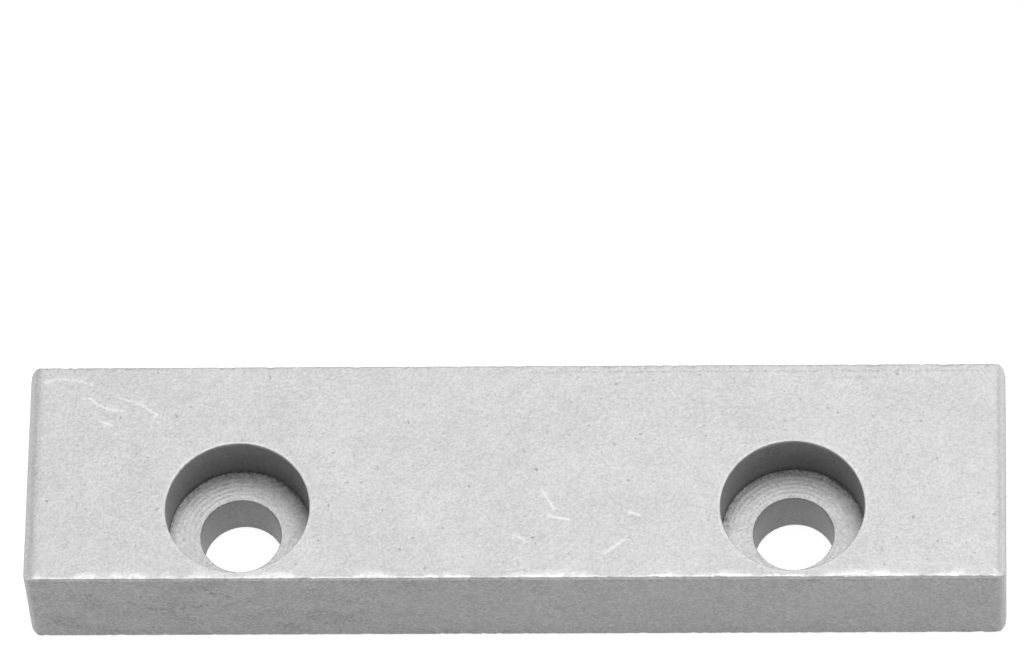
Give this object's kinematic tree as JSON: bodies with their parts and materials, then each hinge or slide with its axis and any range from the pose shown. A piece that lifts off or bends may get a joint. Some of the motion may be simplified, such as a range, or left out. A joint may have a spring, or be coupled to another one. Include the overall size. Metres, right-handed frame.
{
  "type": "machinable soft jaw",
  "caption": "Rectangular soft aluminium vise jaw with chamfered ends and a row of counterbored screw holes near its bottom edge.",
  "frame": {"origin": "centre of the mounting face, which lies on the ground plane", "axes": "+X along the jaw across the vise's width, +Y from the bottom edge to the top edge, +Z from the mounting face to the gripping face with the counterbores"},
  "size_m": [0.1016, 0.025, 0.0127],
  "materials": {
    "aluminium": "tumbled matte, lightly marked"
  },
  "bodies": {
    "root": {"soft_jaw": "aluminium"}
  },
  "joints": []
}
